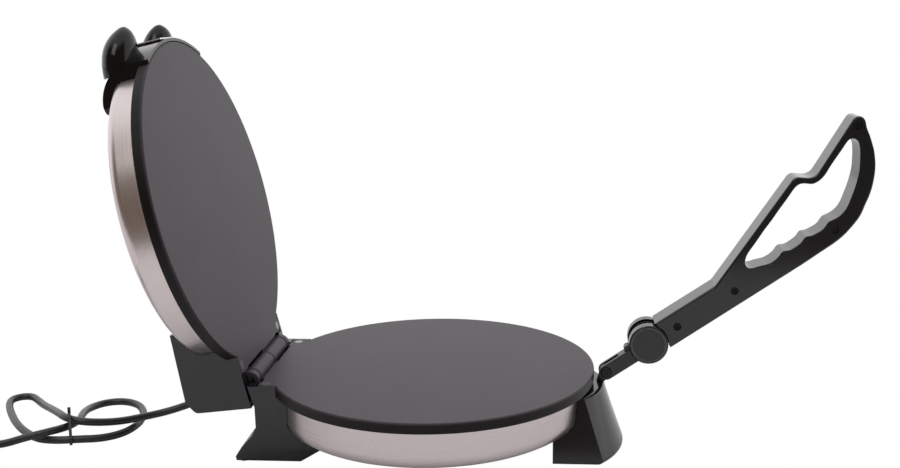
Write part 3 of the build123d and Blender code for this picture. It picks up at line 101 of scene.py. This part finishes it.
# ---------------------------------------------------------------- material tools
class Recipe:
    """A material's node tree with short calls for the nodes that the recipes share."""

    def __init__(self, name, color, roughness, metallic=0.0, specular=0.5):
        self.material = bpy.data.materials.new(name)
        self.material.use_nodes = True
        self.tree = self.material.node_tree
        self.shader = self.tree.nodes["Principled BSDF"]
        self.set("Base Color", (*color, 1.0))
        self.set("Roughness", roughness)
        self.set("Metallic", metallic)
        self.set("Specular IOR Level", specular)

    def set(self, socket, value):
        self.shader.inputs[socket].default_value = value

    def node(self, kind, **settings):
        made = self.tree.nodes.new(kind)
        for key, value in settings.items():
            setattr(made, key, value)
        return made

    def link(self, out, into):
        self.tree.links.new(out, into)

    def put(self, value, socket):
        """Link another node's output into a socket, or set the socket to a plain value."""
        if isinstance(value, bpy.types.NodeSocket):
            self.link(value, socket)
        else:
            socket.default_value = value

    def feed(self, made, **values):
        """Fill a node's inputs by name, with _ for a space."""
        for key, value in values.items():
            self.put(value, made.inputs[key.replace("_", " ")])
        return made

    def fill(self, made, *values):
        """Fill a node's first inputs in order, and give its first output."""
        for value, socket in zip(values, made.inputs):
            self.put(value, socket)
        return made.outputs[0]

    def math(self, operation, *values):
        return self.fill(self.node("ShaderNodeMath", operation=operation), *values)

    def root_of_squares(self, first, second):
        squares = (self.math("MULTIPLY", value, value) for value in (first, second))
        return self.math("SQRT", self.math("ADD", *squares))

    def scaled(self, place, factor):
        made = self.node("ShaderNodeVectorMath", operation="SCALE")
        self.link(place, made.inputs[0])
        made.inputs["Scale"].default_value = factor
        return made.outputs[0]

    def plate_place(self, lid):
        """Place in plate-frame millimetres, for a lid piece in its shut pose."""
        place = self.node("ShaderNodeTexCoord").outputs["Object"]
        hinge = row(HINGE_X, 0, HINGE_Z)
        if lid:
            turn = self.node("ShaderNodeVectorRotate", rotation_type="Y_AXIS")
            self.feed(turn, Vector=place, Center=hinge, Angle=math.radians(LID_OPEN))
            place = turn.outputs[0]
        shift = self.node("ShaderNodeVectorMath", operation="SUBTRACT")
        return self.scaled(self.fill(shift, place, row(0, 0, 0)), 1000)

    def split(self, place):
        made = self.node("ShaderNodeSeparateXYZ")
        self.link(place, made.inputs[0])
        return made.outputs

    def join(self, x, y, z):
        return self.fill(self.node("ShaderNodeCombineXYZ"), x, y, z)

    def noise(self, place, size, detail=2.0):
        """Noise whose features are about `size` in the place's own units."""
        made = self.node("ShaderNodeTexNoise")
        self.feed(made, Vector=place, Scale=1.0 / size, Detail=detail)
        return made.outputs["Fac"]

    def span(self, value, low, high, to_low, to_high, smooth=False):
        made = self.node("ShaderNodeMapRange")
        if smooth:
            made.interpolation_type = "SMOOTHSTEP"
        self.feed(made, Value=value, From_Min=low, From_Max=high, To_Min=to_low, To_Max=to_high)
        return made.outputs["Result"]

    def blend(self, factor, first, second):
        """A colour between two colours, each a plain one or another node's output."""
        made = self.node("ShaderNodeMix", data_type="RGBA")
        self.link(factor, made.inputs["Factor"])
        for socket, value in ((made.inputs[6], first), (made.inputs[7], second)):
            self.put(value if isinstance(value, bpy.types.NodeSocket) else (*value, 1.0), socket)
        return made.outputs[2]

    def color(self, socket):
        self.link(socket, self.shader.inputs["Base Color"])

    def roughness(self, socket):
        self.link(socket, self.shader.inputs["Roughness"])

    def bump(self, height, depth_mm, strength=1.0):
        made = self.node("ShaderNodeBump")
        self.feed(made, Height=height, Strength=strength, Distance=depth_mm / 1000)
        self.link(made.outputs[0], self.shader.inputs["Normal"])

    def object_mm(self):
        """The mesh's own place in millimetres."""
        return self.scaled(self.node("ShaderNodeTexCoord").outputs["Object"], 1000)


# ---------------------------------------------------------------- materials
COAT_GREYS = ((0.042, 0.034, 0.043), (0.049, 0.040, 0.050))     # clouds on the cooking face
COAT_RIM = (0.004, 0.003, 0.003)
LID_FACE_FADE = (1.0, 3.0)      # heights over which the face's grey turns to the rim's black
BASE_FACE_FADE = (-2.0, -0.2)
SHELL_TONES = ((0.54, 0.485, 0.48), (0.58, 0.52, 0.515))        # streaks on the brushed steel
ROLLER_BLACK = (0.006, 0.006, 0.007)
# painted highlight: the lighter grey of the ring painted on the rollers' rim edge
ROLLER_EDGE_HIGHLIGHT = (0.09, 0.09, 0.093)


def coated_plate(name, lid):
    """Soft-grey non-stick on the cooking face, near-black coat round the rim."""
    made = Recipe(name, (0.05, 0.045, 0.05), 0.5, specular=0.2)
    place = made.plate_place(lid)
    z = made.split(place)[2]
    if lid:
        face = made.span(z, *LID_FACE_FADE, 1.0, 0.0, smooth=True)
    else:
        face = made.span(z, *BASE_FACE_FADE, 0.0, 1.0, smooth=True)
    cloud = made.noise(place, 60.0, 3.0)
    grey = made.blend(made.span(cloud, 0.3, 0.7, 0.0, 1.0), *COAT_GREYS)
    made.color(made.blend(face, COAT_RIM, grey))
    speck = made.noise(place, 0.6, 2.0)
    made.roughness(made.span(speck, 0.3, 0.7, 0.40, 0.50))
    made.bump(speck, 0.03, 0.5)
    return made.material


def brushed_shell(name, lid):
    """Stainless sheet, brushed round the shell's axis."""
    made = Recipe(name, (0.52, 0.46, 0.45), 0.3, metallic=1.0)
    x, y, z = made.split(made.plate_place(lid))[:3]
    around = made.math("MULTIPLY", made.math("ARCTAN2", y, x), 120.0)
    reach = made.root_of_squares(x, y)
    streak = made.noise(made.join(made.math("MULTIPLY", around, 0.02),
                                  made.math("MULTIPLY", z, 2.2),
                                  made.math("MULTIPLY", reach, 2.2)), 1.0, 3.0)
    made.color(made.blend(made.span(streak, 0.3, 0.7, 0.0, 1.0), *SHELL_TONES))
    made.roughness(made.span(streak, 0.25, 0.75, 0.25, 0.33))
    made.bump(streak, 0.008, 0.4)
    return made.material


def moulded(name, color, roughness, ripple=0.02, specular=0.5):
    """A plastic moulding: faint orange peel and uneven gloss."""
    made = Recipe(name, color, roughness, specular=specular)
    place = made.object_mm()
    peel = made.noise(place, 2.4, 2.0)
    haze = made.noise(place, 28.0, 3.0)
    made.roughness(made.span(haze, 0.3, 0.7, roughness * 0.88, roughness * 1.15))
    made.bump(peel, ripple, 0.5)
    return made.material


def turned_roller(name, piece):
    """Black roller with a painted highlight: a lighter ring painted along the raised rim's inner
    edge. Its axis lies along y.
    """
    made = Recipe(name, ROLLER_BLACK, 0.2)
    corners = [Vector(corner) * 1000 for corner in piece.bound_box]
    middle = sum(corners, Vector()) / 8
    radius = max(corner.x for corner in corners) - middle.x
    place = made.object_mm()
    x, y, z = made.split(place)[:3]
    reach = made.root_of_squares(made.math("SUBTRACT", x, middle.x),
                                 made.math("SUBTRACT", z, middle.z))
    off = made.math("ABSOLUTE", made.math("SUBTRACT", reach, radius - ROLLER_RIM))
    # painted highlight: a lighter ring along the rim's inner edge, blended over the black
    edge = made.span(off, 0.2, 0.6, 1.0, 0.0, smooth=True)
    made.color(made.blend(edge, ROLLER_BLACK, ROLLER_EDGE_HIGHLIGHT))
    made.bump(made.noise(place, 2.4, 2.0), 0.02, 0.5)
    return made.material


def cast_enamel(name):
    """Black enamel over a cast surface."""
    made = Recipe(name, (0.014, 0.014, 0.015), 0.34)
    place = made.object_mm()
    grain = made.noise(place, 0.9, 3.0)
    made.roughness(made.span(grain, 0.3, 0.7, 0.30, 0.42))
    made.bump(grain, 0.06, 0.5)
    return made.material


def metal(name, color, roughness, grain_mm=0.5):
    """Plain plated or machined metal."""
    made = Recipe(name, color, roughness, metallic=1.0)
    place = made.object_mm()
    grain = made.noise(place, grain_mm, 2.0)
    made.roughness(made.span(grain, 0.3, 0.7, roughness * 0.85, roughness * 1.2))
    made.bump(grain, 0.01, 0.4)
    return made.material


def lens(name, color):
    """A translucent lamp lens."""
    made = Recipe(name, color, 0.12)
    place = made.object_mm()
    made.set("Transmission Weight", 0.35)
    made.color(made.blend(made.noise(place, 3.0, 1.0), color, tuple(c * 0.7 for c in color)))
    return made.material


def cord_sheath(name):
    """Black flexible sheath with a soft gloss and fine drawing marks."""
    made = Recipe(name, (0.012, 0.012, 0.013), 0.36)
    place = made.object_mm()
    grain = made.noise(place, 1.2, 2.0)
    made.roughness(made.span(grain, 0.3, 0.7, 0.32, 0.44))
    made.bump(grain, 0.02, 0.5)
    return made.material


def dress_nodes():
    """Give every carried-over node its material, and return the materials by slot."""
    plastic = moulded("black_moulding", (0.008, 0.008, 0.011), 0.13)
    steel = metal("plated_steel", (0.62, 0.62, 0.62), 0.28)
    heater = metal("heater_sheath", (0.30, 0.29, 0.28), 0.5)
    reflector = metal("reflector_sheet", (0.75, 0.75, 0.75), 0.3)
    dark = metal("blackened_steel", (0.03, 0.03, 0.03), 0.4)
    tab_screw = metal("tab_screw_steel", (0.22, 0.22, 0.22), 0.25)
    # painted shade: the recessed screw heads are near-black so the recesses read as dark holes
    painted_shade_screws = moulded("painted_shade_recess", (0.002, 0.002, 0.002), 0.7)
    plain = {
        "heater_sheath": heater,
        "reflector": reflector,
        "screw_steel": steel,
        "dark_screw": painted_shade_screws,
        "thermostat_metal": reflector,
        "fuse_body": reflector,
        "terminal_plastic": moulded("terminal_ivory", (0.70, 0.67, 0.58), 0.5),
        "black_plastic": plastic,
        "pad_rubber": moulded("pad_rubber", (0.03, 0.03, 0.03), 0.7),
        "bracket_steel": dark,
        "pin_steel": dark,
        "cord_rubber": cord_sheath("cord_sheath"),
        "tie_plastic": moulded("tie_plastic", (0.012, 0.012, 0.012), 0.4),
        "plug_plastic": moulded("plug_black", (0.014, 0.014, 0.015), 0.42, 0.04),
        "pin_brass": metal("brass_pins", (0.72, 0.52, 0.20), 0.25),
        "track_steel": metal("track_strip", (0.84, 0.81, 0.81), 0.5),
        "lens_red": lens("red_lens", (0.42, 0.01, 0.01)),
        "lens_green": lens("green_lens", (0.02, 0.30, 0.05)),
        "arm_metal": cast_enamel("arm_enamel"),
    }
    own = {
        "lower_plate": coated_plate("lower_coat", False),
        "upper_plate": coated_plate("upper_coat", True),
        "lower_shell": brushed_shell("lower_shell_steel", False),
        "lid_shell": brushed_shell("lid_shell_steel", True),
        "lid_front_cap": moulded("glossy_cap", (0.003, 0.003, 0.003), 0.08, 0.01, 0.32),
        "tab_screws": tab_screw,
        "lid_tab_screws": tab_screw,
        "near_roller": turned_roller("near_roller_black", frame["nodes"]["near_roller"]),
        "far_roller": turned_roller("far_roller_black", frame["nodes"]["far_roller"]),
    }
    slots = {part["node"]: part["material_slot"] for part in frame["record"]["subparts"]}
    for name, piece in frame["nodes"].items():
        chosen = own.get(name) or plain[slots[name]]
        for slot in piece.material_slots:
            slot.material = chosen
        if not piece.material_slots:
            piece.data.materials.append(chosen)
    return plain


# ---------------------------------------------------------------- cord
def coil_points():
    """The coil's points: spiral in, climb a layer, spiral out again."""
    start, before = Vector(CORD_ROUTE[-1]), Vector(CORD_ROUTE[-2])
    way = (start - before).normalized()
    left = Vector((-way.y, way.x, 0))
    start = start + way * CORD_D
    centre = start + left * COIL_R
    turned_in, climbed, turned_out = COIL_QUARTERS
    points = []
    for i in range(sum(COIL_QUARTERS) * COIL_STEPS + 1):
        quarters = i / COIL_STEPS
        inwards = min(quarters, turned_in)
        outwards = max(quarters - turned_in - climbed, 0)
        risen = min(max(quarters - turned_in, 0), climbed) / climbed
        radius = COIL_R + (outwards - inwards) * COIL_PITCH / 4
        angle = math.radians(90 * quarters)
        out = way * math.sin(angle) - left * math.cos(angle)
        points.append(centre + out * radius + Vector((0, 0, COIL_LAYER * risen)))
    last_way = points[-1] - centre
    last_way = Vector((-last_way.y, last_way.x, 0)).normalized()
    points.append(points[-1] + last_way * CORD_D)
    return points


def make_cord(sheath):
    curve = bpy.data.curves.new("mains_cord", "CURVE")
    curve.dimensions = "3D"
    curve.bevel_depth = CORD_D / 2000
    curve.bevel_resolution = 5
    curve.resolution_u = 8
    curve.use_fill_caps = True
    points = [Vector(point) for point in CORD_ROUTE] + coil_points()
    line = curve.splines.new("NURBS")
    line.points.add(len(points) - 1)
    for target, point in zip(line.points, points):
        target.co = (*row(*point), 1.0)
    line.order_u = 3
    line.use_endpoint_u = True
    curve.materials.append(sheath)
    cord = bpy.data.objects.new("mains_cord", curve)
    bpy.context.collection.objects.link(cord)
    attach(cord, "base")
    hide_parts("power_cord", "cord_coil")


# ---------------------------------------------------------------- surroundings
PAPER_FRONT = -0.62         # front edge of the white paper, metres
PAPER_REACH = 6.0           # its other edges
PAPER_COLOR = (0.85, 0.84, 0.86, 1)
ROOM_COLOR = (0.16, 0.125, 0.10, 1)     # what lies behind the camera, against white
ROOM_SIDE = (0.0, -0.35)    # the room fades in over this span of a ray's y
ROOM_TOP = (0.9, 0.55)      # and over this span of its z
ROOM_LIGHT = 1.25           # the white surroundings, as the object sees them
KEY_AT = (-0.6, -1.3, 1.5)  # the key light's place, its target and size in metres, its watts
KEY_TARGET = (0, 0, 0.1)
KEY_SIZE = (1.0, 0.8)
KEY_POWER = 6


def white_to_camera(tree, shaded):
    """Show a surface as plain white to the camera alone."""
    path = tree.nodes.new("ShaderNodeLightPath")
    white = tree.nodes.new("ShaderNodeEmission")
    mix = tree.nodes.new("ShaderNodeMixShader")
    tree.links.new(path.outputs["Is Camera Ray"], mix.inputs[0])
    tree.links.new(shaded, mix.inputs[1])
    tree.links.new(white.outputs[0], mix.inputs[2])
    return mix.outputs[0]


def make_floor():
    """White paper under and behind the object, ending between it and the camera."""
    mesh = bpy.data.meshes.new("floor")
    corners = [(-PAPER_REACH, PAPER_FRONT, 0), (PAPER_REACH, PAPER_FRONT, 0),
               (PAPER_REACH, PAPER_REACH, 0), (-PAPER_REACH, PAPER_REACH, 0)]
    mesh.from_pydata(corners, [], [(0, 1, 2, 3)])
    floor = bpy.data.objects.new("floor", mesh)
    bpy.context.collection.objects.link(floor)
    material = bpy.data.materials.new("pale_floor")
    material.use_nodes = True
    tree = material.node_tree
    shader = tree.nodes["Principled BSDF"]
    shader.inputs["Base Color"].default_value = PAPER_COLOR
    shader.inputs["Roughness"].default_value = 0.8
    shader.inputs["Specular IOR Level"].default_value = 0.1
    out = tree.nodes["Material Output"].inputs["Surface"]
    tree.links.new(white_to_camera(tree, shader.outputs[0]), out)
    mesh.materials.append(material)


def make_world():
    """White all round, but for the dim room behind the camera. The camera sees white."""
    world = bpy.data.worlds.new("white_room")
    bpy.context.scene.world = world
    world.use_nodes = True
    tree = world.node_tree
    back = tree.nodes["Background"]

    def ramp(value, low, high):
        made = tree.nodes.new("ShaderNodeMapRange")
        made.interpolation_type = "SMOOTHSTEP"
        tree.links.new(value, made.inputs["Value"])
        made.inputs["From Min"].default_value = low
        made.inputs["From Max"].default_value = high
        return made.outputs["Result"]

    def times(first, second):
        made = tree.nodes.new("ShaderNodeMath")
        made.operation = "MULTIPLY"
        tree.links.new(first, made.inputs[0])
        tree.links.new(second, made.inputs[1])
        return made.outputs[0]

    way = tree.nodes.new("ShaderNodeSeparateXYZ")
    tree.links.new(tree.nodes.new("ShaderNodeTexCoord").outputs["Generated"], way.inputs[0])
    room = times(ramp(way.outputs[1], *ROOM_SIDE), ramp(way.outputs[2], *ROOM_TOP))
    path = tree.nodes.new("ShaderNodeLightPath")
    unseen = ramp(path.outputs["Is Camera Ray"], 1.0, 0.0)     # 1 for every other ray
    color = tree.nodes.new("ShaderNodeMix")
    color.data_type = "RGBA"
    tree.links.new(times(room, unseen), color.inputs["Factor"])
    color.inputs[6].default_value = (1, 1, 1, 1)
    color.inputs[7].default_value = ROOM_COLOR
    tree.links.new(color.outputs[2], back.inputs["Color"])
    level = tree.nodes.new("ShaderNodeMapRange")
    tree.links.new(unseen, level.inputs["Value"])
    level.inputs["To Min"].default_value = 1.0
    level.inputs["To Max"].default_value = ROOM_LIGHT
    tree.links.new(level.outputs["Result"], back.inputs["Strength"])


def make_key_light():
    data = bpy.data.lights.new("key", "AREA")
    data.shape = "RECTANGLE"
    data.size, data.size_y = KEY_SIZE
    data.energy = KEY_POWER
    light = bpy.data.objects.new("key", data)
    light.location = KEY_AT
    way = Vector(KEY_TARGET) - Vector(KEY_AT)
    light.rotation_euler = way.to_track_quat("-Z", "Y").to_euler()
    bpy.context.collection.objects.link(light)


make_camera()
materials = dress_nodes()
make_cord(materials["cord_rubber"])
make_floor()
make_world()
make_key_light()
bpy.context.scene.view_settings.view_transform = "Standard"
